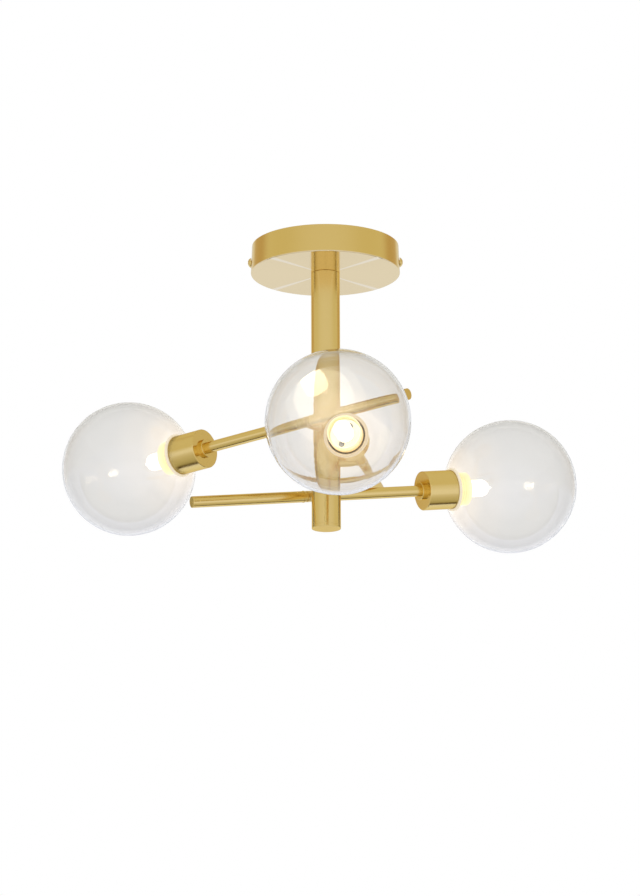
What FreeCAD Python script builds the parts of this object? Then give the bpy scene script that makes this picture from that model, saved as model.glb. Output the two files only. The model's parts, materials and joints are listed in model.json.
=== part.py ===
import FreeCAD, Part
import math
import os
import re

import Sketcher

# Semi flush ceiling light: a round canopy, a straight stem and three thin arms that pass
# beside the stem. Each arm sits on a short stub and carries a clear glass globe.
# Frame: millimetres, +Z up, origin at the centre of the ceiling plane, lamps below it.

DRIVING_SIZES = {
    # Clearances: pieces pushed or screwed together, and pieces that move apart.
    "fit_gap": 0.05,
    "part_gap": 0.3,
    # Canopy: a spun cup whose wall widens a little downwards.
    "canopy_radius": 66.0,
    "canopy_taper": 1.0,
    "canopy_height": 25.0,
    "canopy_wall": 1.0,
    "canopy_edge": 0.6,
    # Ceiling strap with its two ears, slots and cable hole.
    "strap_width": 20.0,
    "strap_sheet": 1.5,
    "ear_length": 20.0,
    "fixing_spacing": 70.0,
    "fixing_slot_width": 4.5,
    "fixing_slot_length": 14.0,
    "cable_hole_radius": 6.0,
    # Side screws, M4 with a domed and slotted head.
    "side_screw_drop": 14.5,
    "side_screw_radius": 1.95,
    "side_screw_length": 9.0,
    "side_head_radius": 4.5,
    "side_head_height": 2.8,
    "driver_slot": 1.0,
    # Earth terminal screw.
    "earth_offset": 17.0,
    "earth_screw_radius": 1.95,
    "earth_screw_length": 6.0,
    "earth_head_radius": 4.0,
    "earth_head_height": 2.6,
    # Terminal block.
    "block_offset": 8.0,
    "block_depth": 18.0,
    "block_width": 24.0,
    "block_height": 13.0,
    "block_hole_radius": 1.9,
    "block_hole_depth": 5.0,
    # Stem.
    "stem_radius": 12.7,
    "stem_wall": 1.2,
    "stem_drop": 257.0,
    "stem_cap_sheet": 2.5,
    "stem_cap_spigot": 6.0,
    "stem_plug_length": 12.0,
    # Nipple and locknut, M10.
    "nipple_radius": 5.0,
    "nipple_bore": 3.6,
    "nipple_above_floor": 9.0,
    "locknut_flats": 14.0,
    "locknut_height": 3.5,
    # Stubs: where each one leaves the stem and what it ends in.
    "arm_offset": 34.0,
    "left_drop": 168.5,
    "front_drop": 202.0,
    "right_drop": 220.0,
    "stub_radius": 4.25,
    "stub_spigot_radius": 3.5,
    "stub_inside_stem": 2.0,
    "pivot_radius": 3.0,
    "pivot_reach": 3.5,
    "lead_bore_radius": 1.7,
    "lead_window": 3.6,
    # Directions of the arms, in degrees.
    "front_azimuth": 263.0,
    "left_azimuth": 143.0,
    "right_azimuth": 23.0,
    "left_tilt": -3.1,
    "front_tilt": -3.8,
    "right_tilt": 8.0,
    # Arms.
    "arm_radius": 5.0,
    "arm_wall": 0.8,
    "lamp_reach": 108.7,
    "tail_reach": 113.4,
    "tail_cap_sheet": 1.5,
    "arm_spigot": 6.0,
    "knuckle_half": 8.0,
    "boss_reach": 6.0,
    "rim_width": 0.8,
    "rim_rise": 0.3,
    "seam_width": 0.9,
    "seam_depth": 0.8,
    "seam_offset": 4.4,
    # Leads.
    "lead_radius": 1.2,
    "lead_spread": 6.0,
    "nipple_lead_spread": 1.9,
    "lead_bend": 9.0,
    "arm_lead_radius": 1.4,
    "lead_start": 3.4,
    # Lamp cup, collar and sleeve.
    "cup_radius": 17.5,
    "cup_wall": 1.0,
    "cup_length": 28.5,
    "cup_edge": 0.4,
    "collar_radius": 8.2,
    "collar_length": 3.0,
    "sleeve_wall": 1.2,
    "sleeve_projection": 14.5,
    "tube_in_sleeve": 8.0,
    "wire_hole_radius": 4.0,
    "thread_pitch": 2.4,
    "thread_depth": 0.7,
    "thread_turns": 5,
    # G9 lampholder and its screws.
    "holder_length": 20.0,
    "holder_face": 4.0,
    "holder_recess_radius": 6.0,
    "holder_recess": 4.0,
    "holder_turn": -27.0,
    "pin_spacing": 9.0,
    "pin_width": 2.6,
    "pin_sheet": 1.0,
    "pin_length": 8.5,
    "pin_slot_depth": 11.0,
    "holder_screw_spacing": 17.0,
    "holder_screw_radius": 1.45,
    "holder_screw_bite": 6.0,
    "holder_head_radius": 2.4,
    "holder_head_height": 1.6,
    "holder_head_sink": 2.0,
    # Bulb.
    "bulb_radius": 7.5,
    "bulb_base_height": 6.0,
    "bulb_length": 40.0,
    "bulb_tip_radius": 2.0,
    "bulb_tip_length": 3.0,
    "bulb_wall": 0.9,
    "core_radius": 2.4,
    "core_length": 20.0,
    # Globe and gasket.
    "globe_radius": 60.0,
    "glass_wall": 2.0,
    "neck_wall": 1.2,
    "neck_length": 8.0,
    "gasket_sheet": 1.5,
    "gasket_rim": 1.8,
}

DERIVED_SIZES = {
    "canopy_top_radius": "canopy_radius - canopy_taper",
    # Outer wall of the canopy at the height of the side screws.
    "side_wall_radius": "canopy_radius - canopy_taper * (1 - side_screw_drop / canopy_height)",
    # The strap's four corners stay clear of the canopy's round wall.
    "ear_outside": "sqrt((canopy_top_radius - canopy_wall - part_gap) ^ 2 - (strap_width / 2) ^ 2)",
    "canopy_floor": "canopy_height - canopy_wall",
    "stem_bore": "stem_radius - stem_wall",
    "nipple_top": "canopy_floor - nipple_above_floor",
    "nipple_bottom": "canopy_height + stem_plug_length",
    "stub_shoulder": "arm_offset - boss_reach - part_gap",
    "arm_bore": "arm_radius - arm_wall",
    "arm_spigot_radius": "arm_bore - fit_gap",
    # Stations along an arm, counted from its pivot towards the lamp.
    "cup_front": "lamp_reach + cup_length",
    "cup_bore": "cup_radius - cup_wall",
    "sleeve_back": "lamp_reach + cup_wall + fit_gap",
    "tube_end": "sleeve_back + tube_in_sleeve",
    "sleeve_front": "cup_front + sleeve_projection",
    "neck_outside": "cup_bore - part_gap",
    "neck_bore": "neck_outside - neck_wall",
    "sleeve_radius": "neck_bore - part_gap",
    "sleeve_bore": "sleeve_radius - sleeve_wall",
    "holder_radius": "sleeve_bore - part_gap",
    "holder_front": "cup_front + holder_face",
    "holder_back": "holder_front - holder_length",
    "sleeve_step": "holder_back - fit_gap",
    "lead_end": "holder_back + holder_recess",
    "bulb_back": "holder_front + part_gap",
    "capsule_back": "bulb_back + bulb_base_height + fit_gap",
    "bulb_front": "cup_front + bulb_length",
    "gasket_radius": "cup_radius + gasket_rim",
    "gasket_back": "cup_front + fit_gap",
    # The glass lies on the gasket where the cup's rim is.
    "globe_centre": "gasket_back + gasket_sheet + part_gap + sqrt(globe_radius ^ 2 - cup_radius ^ 2)",
    "globe_bore": "globe_radius - glass_wall",
    "neck_back": "cup_front - neck_length",
}

UP = FreeCAD.Vector(0, 0, 1)
ORIGIN = FreeCAD.Vector(0, 0, 0)
# How a cylinder that stands on Z is turned to lie along another axis.
TURN_TO = {
    "Z": FreeCAD.Rotation(),
    "X": FreeCAD.Rotation(FreeCAD.Vector(0, 1, 0), 90),
    "Y": FreeCAD.Rotation(FreeCAD.Vector(1, 0, 0), -90),
}
ARMS = ("left", "right", "front")

doc = FreeCAD.newDocument("CeilingLight")
sheet = doc.addObject("Spreadsheet::Sheet", "Sizes")
pieces = []


# ---------------------------------------------------------------- sizes

def fill_sheet():
    """Write every driving size as a plain number and every derived size as a formula."""
    cells = dict(DRIVING_SIZES)
    cells.update({name: "=" + formula for name, formula in DERIVED_SIZES.items()})
    for row, (name, content) in enumerate(cells.items(), start=1):
        sheet.set(f"A{row}", name)
        sheet.set(f"B{row}", str(content))
        sheet.setAlias(f"B{row}", name)
    doc.recompute()


def bound(formula):
    """Turn a formula in size names into an expression on the sheet's cells."""
    known = DRIVING_SIZES.keys() | DERIVED_SIZES.keys()
    return re.sub(r"[a-z][a-z_]+", lambda word: f"Sizes.{word[0]}" if word[0] in known else word[0], formula)


def size(formula):
    """Number that a formula in size names gives now."""
    return float(sheet.evalExpression(bound(formula)))


# ---------------------------------------------------------------- tools for turned and milled pieces

def keep(piece, label, placement=None):
    """Name a finished piece, place it and list it for export."""
    piece.Label = label
    if placement is not None:
        piece.Placement = placement
    pieces.append(piece)
    return piece


def origin_plane(body, role):
    """One of a body's own origin planes."""
    return next(feature for feature in body.Origin.OriginFeatures if feature.Role == role)


def pin_corner(sketch, edge, axis, formula, value):
    """Tie one coordinate of an edge's first end to a formula, or to the axis where it is 0."""
    if formula == "0":
        sketch.addConstraint(Sketcher.Constraint("PointOnObject", edge, 1, -2 if axis == "X" else -1))
        return
    index = sketch.addConstraint(Sketcher.Constraint("Distance" + axis, -1, 1, edge, 1, value))
    sketch.setExpression(f"Constraints[{index}]", bound(formula))


def outline(body, name, role, corners):
    """Closed sketch of straight edges on an origin plane, each corner a pair of formulas."""
    sketch = body.newObject("Sketcher::SketchObject", name)
    sketch.AttachmentSupport = (origin_plane(body, role), [""])
    sketch.MapMode = "FlatFace"
    points = [FreeCAD.Vector(size(across), size(along), 0) for across, along in corners]
    count = len(corners)
    for edge in range(count):
        sketch.addGeometry(Part.LineSegment(points[edge], points[(edge + 1) % count]), False)
    for edge in range(count):
        sketch.addConstraint(Sketcher.Constraint("Coincident", edge, 2, (edge + 1) % count, 1))
    for edge, (across, along) in enumerate(corners):
        pin_corner(sketch, edge, "X", across, points[edge].x)
        pin_corner(sketch, edge, "Y", along, points[edge].y)
    return sketch


def turned_body(label, corners):
    """Body made by turning an outline of (radius, height) corners about Z."""
    body = doc.addObject("PartDesign::Body", label)
    sketch = outline(body, label + "_profile", "XZ_Plane", corners)
    turn = body.newObject("PartDesign::Revolution", label + "_turned")
    turn.Profile = sketch
    turn.ReferenceAxis = (sketch, ["V_Axis"])
    turn.Angle = 360
    return body


def circles_at(shape, radius, height):
    """Names of the circular edges of a turned shape at one radius and height."""
    close = 0.001
    names = []
    for index, edge in enumerate(shape.Edges, start=1):
        curve = edge.Curve
        if not isinstance(curve, Part.Circle):
            continue
        if abs(curve.Radius - radius) < close and abs(curve.Center.z - height) < close:
            names.append(f"Edge{index}")
    return names


def round_edge(body, radius, height, fillet):
    """Round a turned body's edge that lies at a radius and height."""
    doc.recompute()
    base = body.Tip
    feature = body.newObject("PartDesign::Fillet", body.Name + "_rounded")
    feature.Base = (base, circles_at(base.Shape, size(radius), size(height)))
    feature.setExpression("Radius", bound(fillet))
    return feature


def primitive(kind, name, at=("0", "0", "0"), along="Z", **formulas):
    """Part primitive whose sizes and position are formulas."""
    solid = doc.addObject(kind, name)
    solid.Placement = FreeCAD.Placement(ORIGIN, TURN_TO[along])
    for axis, formula in zip("xyz", at):
        solid.setExpression("Placement.Base." + axis, bound(formula))
    for name_of_size, formula in formulas.items():
        solid.setExpression(name_of_size, bound(formula))
    return solid


def rod(name, radius, start, length, at=("0", "0"), along="Z"):
    """Round bar along an axis, from a start station, through a point across that axis."""
    across = list(at)
    across.insert("XYZ".index(along), start)
    return primitive("Part::Cylinder", name, tuple(across), along, Radius=radius, Height=length)


def block(name, low, extent):
    """Box from its low corner and its three lengths."""
    return primitive("Part::Box", name, low, Length=extent[0], Width=extent[1], Height=extent[2])


def cut(name, base, tools):
    """Base less every tool."""
    tool = tools[0]
    if len(tools) > 1:
        tool = fuse(name + "_tools", tools)
    result = doc.addObject("Part::Cut", name)
    result.Base = base
    result.Tool = tool
    return result


def fuse(name, solids):
    """All the solids in one."""
    result = doc.addObject("Part::MultiFuse", name)
    result.Shapes = solids
    return result


def carried(name, solid, frame):
    """A solid made in its own frame, carried into another one."""
    result = doc.addObject("Part::Compound", name)
    result.Links = [solid]
    result.Placement = frame
    return result


# ---------------------------------------------------------------- frames

def direction(side):
    """Level direction of an arm, and the level direction from the stem out to it."""
    azimuth = math.radians(size(side + "_azimuth"))
    level = FreeCAD.Vector(math.cos(azimuth), math.sin(azimuth), 0)
    return level, UP.cross(level)


def stub_frame(side):
    """Frame of a stub: Z out along the stub from the stem's axis, X up, Y towards the lamp."""
    level, outward = direction(side)
    turn = FreeCAD.Rotation(UP, level, outward, "ZXY")
    return FreeCAD.Placement(UP * -size(side + "_drop"), turn)


def arm_frame(side):
    """Frame of an arm: origin on its pivot, Z along it to the lamp, X away from the stem."""
    level, outward = direction(side)
    tilt = math.radians(size(side + "_tilt"))
    along = level * math.cos(tilt) + UP * math.sin(tilt)
    turn = FreeCAD.Rotation(outward, along.cross(outward), along, "ZXY")
    pivot = outward * size("arm_offset") - UP * size(side + "_drop")
    return FreeCAD.Placement(pivot, turn)


def turned_holder_frame(side):
    """Frame of an arm with its lampholder's own turn about the arm."""
    turn = FreeCAD.Placement(ORIGIN, FreeCAD.Rotation(UP, size("holder_turn")))
    return arm_frame(side).multiply(turn)


# ---------------------------------------------------------------- canopy and strap

def make_canopy():
    """Spun cup, open at the ceiling, with holes for the nipple and the side screws."""
    body = turned_body("canopy", [
        ("nipple_radius + fit_gap", "-canopy_height"),
        ("canopy_radius", "-canopy_height"),
        ("canopy_top_radius", "0"),
        ("canopy_top_radius - canopy_wall", "0"),
        ("canopy_radius - canopy_wall", "-canopy_floor"),
        ("nipple_radius + fit_gap", "-canopy_floor"),
    ])
    round_edge(body, "canopy_radius", "-canopy_height", "canopy_edge")
    sketch = body.newObject("Sketcher::SketchObject", "side_screw_hole")
    sketch.AttachmentSupport = (origin_plane(body, "YZ_Plane"), [""])
    sketch.MapMode = "FlatFace"
    centre = FreeCAD.Vector(0, -size("side_screw_drop"), 0)
    sketch.addGeometry(Part.Circle(centre, UP, size("side_screw_radius + part_gap")), False)
    radius = sketch.addConstraint(Sketcher.Constraint("Radius", 0, size("side_screw_radius + part_gap")))
    sketch.setExpression(f"Constraints[{radius}]", bound("side_screw_radius + part_gap"))
    sketch.addConstraint(Sketcher.Constraint("PointOnObject", 0, 3, -2))
    drop = sketch.addConstraint(Sketcher.Constraint("DistanceY", -1, 1, 0, 3, centre.y))
    sketch.setExpression(f"Constraints[{drop}]", bound("-side_screw_drop"))
    holes = body.newObject("PartDesign::Pocket", "side_screw_holes")
    holes.Profile = sketch
    holes.Type = "ThroughAll"
    holes.Midplane = True
    keep(body, "canopy")


def make_ceiling_strap():
    """Strip under the ceiling, bent down at both ends behind the canopy wall."""
    body = doc.addObject("PartDesign::Body", "strap_body")
    sketch = outline(body, "strap_profile", "XZ_Plane", [
        ("-ear_outside", "0"),
        ("ear_outside", "0"),
        ("ear_outside", "-ear_length"),
        ("ear_outside - strap_sheet", "-ear_length"),
        ("ear_outside - strap_sheet", "-strap_sheet"),
        ("-ear_outside + strap_sheet", "-strap_sheet"),
        ("-ear_outside + strap_sheet", "-ear_length"),
        ("-ear_outside", "-ear_length"),
    ])
    strip = body.newObject("PartDesign::Pad", "strap_strip")
    strip.Profile = sketch
    strip.Midplane = True
    strip.setExpression("Length", bound("strap_width"))
    low = "-2 * strap_sheet"
    high = "4 * strap_sheet"
    tools = [rod("cable_hole", "cable_hole_radius", low, high)]
    for sign in ("-", ""):
        middle = f"{sign}fixing_spacing / 2"
        half = "(fixing_slot_length - fixing_slot_width) / 2"
        tools.append(block("slot_middle", (f"{middle} - {half}", "-fixing_slot_width / 2", low),
                           (f"2 * {half}", "fixing_slot_width", high)))
        for end in ("-", "+"):
            tools.append(rod("slot_end", "fixing_slot_width / 2", low, high, (f"{middle} {end} {half}", "0")))
    tools.append(rod("earth_hole", "earth_screw_radius + fit_gap", low, high, ("-earth_offset", "0")))
    tools.append(rod("ear_holes", "side_screw_radius + fit_gap", "-canopy_radius", "2 * canopy_radius",
                     ("0", "-side_screw_drop"), "X"))
    keep(cut("strap_cut", body, tools), "ceiling_strap")


def make_side_screw(side, sign):
    """Domed, slotted screw through the canopy wall into the strap's ear."""
    seat = "side_wall_radius + part_gap"
    head = "side_head_height"
    dome = f"(side_head_radius ^ 2 + {head} ^ 2) / (2 * {head})"
    ball = primitive("Part::Sphere", "dome", ("0", "0", f"{seat} + {head} - {dome}"), Radius=dome)
    limit = rod("dome_limit", "side_head_radius", seat, f"{head} * 2")
    cap = doc.addObject("Part::Common", "dome_cap")
    cap.Base = ball
    cap.Tool = limit
    shank = rod("shank", "side_screw_radius", f"{seat} - side_screw_length", "side_screw_length + 0.5 * part_gap")
    slot = block("driver_slot", ("-driver_slot / 2", "-side_head_radius", f"{seat} + {head} - driver_slot"),
                 ("driver_slot", "2 * side_head_radius", "2 * driver_slot"))
    screw = cut("side_screw", fuse("side_screw_solid", [cap, shank]), [slot])
    turn = FreeCAD.Rotation(FreeCAD.Vector(0, 1, 0), 90 * sign)
    keep(screw, "side_screw_" + side, FreeCAD.Placement(UP * -size("side_screw_drop"), turn))


def make_earth_screw():
    """Round-headed screw up into the strap."""
    body = turned_body("earth_screw", [
        ("0", "-strap_sheet - earth_head_height"),
        ("earth_head_radius * 0.7", "-strap_sheet - earth_head_height"),
        ("earth_head_radius", "-strap_sheet - earth_head_height / 2"),
        ("earth_head_radius", "-strap_sheet"),
        ("earth_screw_radius", "-strap_sheet"),
        ("earth_screw_radius", "-part_gap"),
        ("0", "-part_gap"),
    ])
    keep(body, "earth_screw", FreeCAD.Placement(FreeCAD.Vector(-size("earth_offset"), 0, 0), FreeCAD.Rotation()))


def make_terminal_block():
    """Three-pole connector under the strap, with a screw hole over each pole and lead holes."""
    under = "-strap_sheet - block_height"
    solid = block("block_solid", ("block_offset", "-block_width / 2", under),
                  ("block_depth", "block_width", "block_height"))
    tools = []
    for pole in ("-1", "0", "1"):
        across = f"{pole} * block_width / 3"
        for row in ("1 / 4", "3 / 4"):
            tools.append(rod("screw_hole", "block_hole_radius", f"{under} - 1", "block_hole_depth + 1",
                             (f"block_offset + block_depth * {row}", across)))
        tools.append(rod("supply_hole", "block_hole_radius", "block_offset + block_depth - block_hole_depth",
                         "2 * block_hole_depth", (across, "-strap_sheet - block_height / 3"), "X"))
    keep(cut("block_cut", solid, tools), "terminal_block")


# ---------------------------------------------------------------- stem

def make_stem_tube():
    """Brass tube from the canopy down to its cap, cross-drilled for the three stubs."""
    body = turned_body("stem_pipe", [
        ("stem_bore", "-stem_drop + stem_cap_sheet"),
        ("stem_radius", "-stem_drop + stem_cap_sheet"),
        ("stem_radius", "-canopy_height"),
        ("stem_bore", "-canopy_height"),
    ])
    drills = []
    for side in ARMS:
        drill = rod("stub_drill", "stub_spigot_radius + fit_gap", "0", "2 * stem_radius")
        drills.append(carried("placed_drill", drill, stub_frame(side)))
    keep(cut("stem_tube_cut", body, drills), "stem_tube")


def make_stem_cap():
    """Flat end of the stem with a spigot inside the tube."""
    body = turned_body("stem_cap", [
        ("0", "-stem_drop"),
        ("stem_radius", "-stem_drop"),
        ("stem_radius", "-stem_drop + stem_cap_sheet"),
        ("stem_bore - fit_gap", "-stem_drop + stem_cap_sheet"),
        ("stem_bore - fit_gap", "-stem_drop + stem_cap_sheet + stem_cap_spigot"),
        ("stem_bore - stem_wall", "-stem_drop + stem_cap_sheet + stem_cap_spigot"),
        ("stem_bore - stem_wall", "-stem_drop + stem_cap_sheet"),
        ("0", "-stem_drop + stem_cap_sheet"),
    ])
    keep(body, "stem_cap")


def make_stem_plug():
    """Threaded insert in the top of the stem."""
    body = turned_body("stem_plug", [
        ("nipple_radius + fit_gap", "-canopy_height - stem_plug_length"),
        ("stem_bore - fit_gap", "-canopy_height - stem_plug_length"),
        ("stem_bore - fit_gap", "-canopy_height"),
        ("nipple_radius + fit_gap", "-canopy_height"),
    ])
    keep(body, "stem_plug")


def make_stem_nipple():
    """Hollow threaded nipple that draws the stem up to the canopy."""
    body = turned_body("stem_nipple", [
        ("nipple_bore", "-nipple_bottom"),
        ("nipple_radius", "-nipple_bottom"),
        ("nipple_radius", "-nipple_top"),
        ("nipple_bore", "-nipple_top"),
    ])
    keep(body, "stem_nipple")


def make_stem_locknut():
    """Hexagon nut on the nipple, on the canopy's floor."""
    hexagon = primitive("Part::Prism", "locknut_hexagon", ("0", "0", "-canopy_floor"),
                        Circumradius="locknut_flats / sqrt(3)", Height="locknut_height")
    hexagon.Polygon = 6
    thread = rod("locknut_thread", "nipple_radius + fit_gap", "-canopy_height", "canopy_height")
    keep(cut("locknut_cut", hexagon, [thread]), "stem_locknut")


def rounded_path(points, bend):
    """Wire of straight runs joined by tangent arcs of one radius."""
    edges = []
    start = points[0]
    for corner, after in zip(points[1:-1], points[2:]):
        back = (start - corner).normalize()
        ahead = (after - corner).normalize()
        half_turn = (math.pi - back.getAngle(ahead)) / 2
        setback = bend * math.tan(half_turn)
        enter = corner + back * setback
        leave = corner + ahead * setback
        inward = (back + ahead).normalize()
        middle = corner + inward * (bend / math.cos(half_turn) - bend)
        edges.append(Part.LineSegment(start, enter).toShape())
        edges.append(Part.Arc(enter, middle, leave).toShape())
        start = leave
    edges.append(Part.LineSegment(start, points[-1]).toShape())
    return Part.Wire(edges)


def lead_along(path, radius):
    """Round lead carried along a wire."""
    first = path.OrderedEdges[0]
    ring = Part.Circle(first.valueAt(first.FirstParameter), first.tangentAt(first.FirstParameter), radius)
    return path.makePipeShell([Part.Wire(ring.toShape())], True, False)


def stem_lead(side, height_in_block, bend):
    """One lead: block, nipple, down the stem's far side, and out into its stub's bore."""
    outward = direction(side)[1]
    narrow = outward * -size("nipple_lead_spread")
    wide = outward * -size("lead_spread")
    drop = UP * -size(side + "_drop")
    level = UP * -height_in_block
    below_plug = size("nipple_bottom + lead_bend / 3")
    points = [
        FreeCAD.Vector(size("block_offset"), narrow.y, -height_in_block),
        narrow + level,
        narrow - UP * below_plug,
        wide - UP * (below_plug + size("2 * lead_bend")),
        wide + drop,
        outward * size("arm_offset") + drop,
    ]
    return lead_along(rounded_path(points, bend), size("lead_radius"))


def make_stem_leads():
    """Three leads in one node; the front one enters the block above the other two."""
    low = size("strap_sheet + block_height / 2")
    high = low - size("3 * lead_radius")
    heights = {"left": low, "right": low, "front": high}
    bend = size("lead_bend / 3")
    feature = doc.addObject("Part::Feature", "stem_leads")
    feature.Shape = Part.makeCompound([stem_lead(side, heights[side], bend) for side in ARMS])
    keep(feature, "stem_leads")


def make_stub(side):
    """Hollow cross piece: spigot in the stem wall, round shoulder, and pivot pin with a lead window."""
    shoulder = rod("stub_shoulder", "stub_radius", "stem_bore", "stub_shoulder - stem_bore")
    stem_space = rod("stem_space", "stem_radius + fit_gap", "-2 * stub_radius", "4 * stub_radius", ("0", "0"), "X")
    saddle = cut("stub_saddle", shoulder, [stem_space])
    inner_end = "stem_bore - stub_inside_stem"
    spigot = rod("stub_spigot", "stub_spigot_radius", inner_end, f"stub_shoulder - {inner_end}")
    pivot = rod("stub_pivot", "pivot_radius", inner_end, f"arm_offset + pivot_reach - ({inner_end})")
    solid = fuse("stub_solid", [saddle, spigot, pivot])
    bore = rod("stub_bore", "lead_bore_radius", "0", "arm_offset + lead_bore_radius")
    window = block("stub_window", ("-lead_window / 2", "0", "arm_offset - lead_window / 2"),
                   ("lead_window", "2 * pivot_radius", "lead_window"))
    keep(cut("stub_cut", solid, [bore, window]), side + "_stub", stub_frame(side))


# ---------------------------------------------------------------- arms

def make_knuckle(side):
    """Block on the pivot pin, with a spigot for each tube and a boss towards the stub."""
    middle = turned_body("knuckle_core", [
        ("0", "-knuckle_half - arm_spigot"),
        ("arm_spigot_radius", "-knuckle_half - arm_spigot"),
        ("arm_spigot_radius", "-knuckle_half"),
        ("arm_radius + rim_rise", "-knuckle_half"),
        ("arm_radius + rim_rise", "-knuckle_half + rim_width"),
        ("arm_radius", "-knuckle_half + rim_width"),
        ("arm_radius", "-seam_offset - seam_width"),
        ("arm_radius - seam_depth", "-seam_offset - seam_width"),
        ("arm_radius - seam_depth", "-seam_offset"),
        ("arm_radius", "-seam_offset"),
        ("arm_radius", "knuckle_half"),
        ("arm_spigot_radius", "knuckle_half"),
        ("arm_spigot_radius", "knuckle_half + arm_spigot"),
        ("0", "knuckle_half + arm_spigot"),
    ])
    boss = rod("knuckle_boss", "stub_radius", "-boss_reach", "boss_reach", along="X")
    cross_bore = rod("pivot_bore", "pivot_radius + fit_gap", "-2 * boss_reach",
                     "2 * boss_reach + pivot_reach + part_gap", along="X")
    lead_bore = rod("knuckle_lead_bore", "arm_lead_radius + part_gap", "0", "2 * knuckle_half + arm_spigot")
    solid = fuse("knuckle_solid", [middle, boss])
    keep(cut("knuckle_cut", solid, [cross_bore, lead_bore]), side + "_knuckle", arm_frame(side))


def make_tube(side, name, start, end):
    """Thin brass tube between two stations of an arm."""
    body = turned_body(f"{side}_{name}", [
        ("arm_bore", start),
        ("arm_radius", start),
        ("arm_radius", end),
        ("arm_bore", end),
    ])
    keep(body, f"{side}_{name}", arm_frame(side))


def make_tail_cap(side):
    """Flat closed end of the bare tube."""
    body = turned_body(side + "_tail_cap", [
        ("0", "-tail_reach"),
        ("arm_radius", "-tail_reach"),
        ("arm_radius", "-tail_reach + tail_cap_sheet"),
        ("arm_spigot_radius", "-tail_reach + tail_cap_sheet"),
        ("arm_spigot_radius", "-tail_reach + tail_cap_sheet + arm_spigot"),
        ("0", "-tail_reach + tail_cap_sheet + arm_spigot"),
    ])
    keep(body, side + "_tail_cap", arm_frame(side))


def make_arm_lead(side):
    """Lead inside the lamp tube, from the pivot's window to the lampholder's recess."""
    lead = rod("lead_bar", "arm_lead_radius", "lead_start", "lead_end - lead_start")
    keep(carried("arm_lead", lead, arm_frame(side)), side + "_arm_lead")


def make_collar(side):
    """Round nut on the tube, behind the cup."""
    body = turned_body(side + "_collar", [
        ("arm_radius + fit_gap", "lamp_reach - collar_length"),
        ("collar_radius - cup_edge", "lamp_reach - collar_length"),
        ("collar_radius", "lamp_reach - collar_length + cup_edge"),
        ("collar_radius", "lamp_reach"),
        ("arm_radius + fit_gap", "lamp_reach"),
    ])
    keep(body, side + "_collar", arm_frame(side))


def make_cup(side):
    """Lamp cup, closed behind and open towards the globe."""
    body = turned_body(side + "_cup", [
        ("arm_radius + fit_gap", "lamp_reach"),
        ("cup_radius", "lamp_reach"),
        ("cup_radius", "cup_front"),
        ("cup_bore", "cup_front"),
        ("cup_bore", "lamp_reach + cup_wall"),
        ("arm_radius + fit_gap", "lamp_reach + cup_wall"),
    ])
    round_edge(body, "cup_radius", "lamp_reach", "cup_edge")
    keep(body, side + "_cup", arm_frame(side))


def make_sleeve(side):
    """Brass sleeve round the lampholder: solid behind, threaded where it stands in the globe."""
    body = turned_body(side + "_turned_sleeve", [
        ("arm_radius + fit_gap", "sleeve_back"),
        ("sleeve_radius", "sleeve_back"),
        ("sleeve_radius", "sleeve_front"),
        ("sleeve_bore", "sleeve_front"),
        ("sleeve_bore", "sleeve_step"),
        ("wire_hole_radius", "sleeve_step"),
        ("wire_hole_radius", "tube_end + fit_gap"),
        ("arm_radius + fit_gap", "tube_end + fit_gap"),
    ])
    first = "sleeve_front - thread_pitch"
    groove_sketch = outline(body, "thread_profile", "XZ_Plane", [
        ("sleeve_radius + thread_depth", f"{first} - thread_pitch / 2"),
        ("sleeve_radius - thread_depth", first),
        ("sleeve_radius + thread_depth", f"{first} + thread_pitch / 2"),
    ])
    groove = body.newObject("PartDesign::Groove", "thread_groove")
    groove.Profile = groove_sketch
    groove.ReferenceAxis = (groove_sketch, ["V_Axis"])
    groove.Angle = 360
    threads = body.newObject("PartDesign::LinearPattern", "threads")
    threads.Originals = [groove]
    threads.Direction = (groove_sketch, ["V_Axis"])
    threads.Reversed = True
    threads.setExpression("Length", bound("thread_pitch * (thread_turns - 1)"))
    threads.setExpression("Occurrences", bound("thread_turns"))
    body.Tip = threads
    screws = [rod("bridge_hole", "holder_screw_radius + fit_gap", "sleeve_step - holder_screw_bite",
                  "2 * holder_screw_bite", ("0", f"{sign} * holder_screw_spacing / 2")) for sign in ("-1", "1")]
    keep(cut("sleeve_cut", body, screws), side + "_sleeve", turned_holder_frame(side))


def make_lampholder(side):
    """Ceramic G9 holder: wiring recess behind, two pin slots and two screw holes in its face."""
    body = turned_body(side + "_holder", [
        ("0", "lead_end"),
        ("holder_recess_radius", "lead_end"),
        ("holder_recess_radius", "holder_back"),
        ("holder_radius", "holder_back"),
        ("holder_radius", "holder_front"),
        ("0", "holder_front"),
    ])
    tools = []
    for sign in ("-1", "1"):
        wide = "pin_sheet + 2 * part_gap"
        tall = "pin_width + 2 * part_gap"
        tools.append(block("pin_slot", (f"{sign} * pin_spacing / 2 - ({wide}) / 2", f"-({tall}) / 2",
                                        "holder_front - pin_slot_depth"), (wide, tall, "2 * pin_slot_depth")))
        across = ("0", f"{sign} * holder_screw_spacing / 2")
        tools.append(rod("screw_hole", "holder_screw_radius + fit_gap", "holder_back - 1", "holder_length + 2", across))
        tools.append(rod("head_sink", "holder_head_radius + part_gap", "holder_front - holder_head_sink",
                         "2 * holder_head_sink", across))
    keep(cut("holder_cut", body, tools), side + "_lampholder", turned_holder_frame(side))


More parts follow.
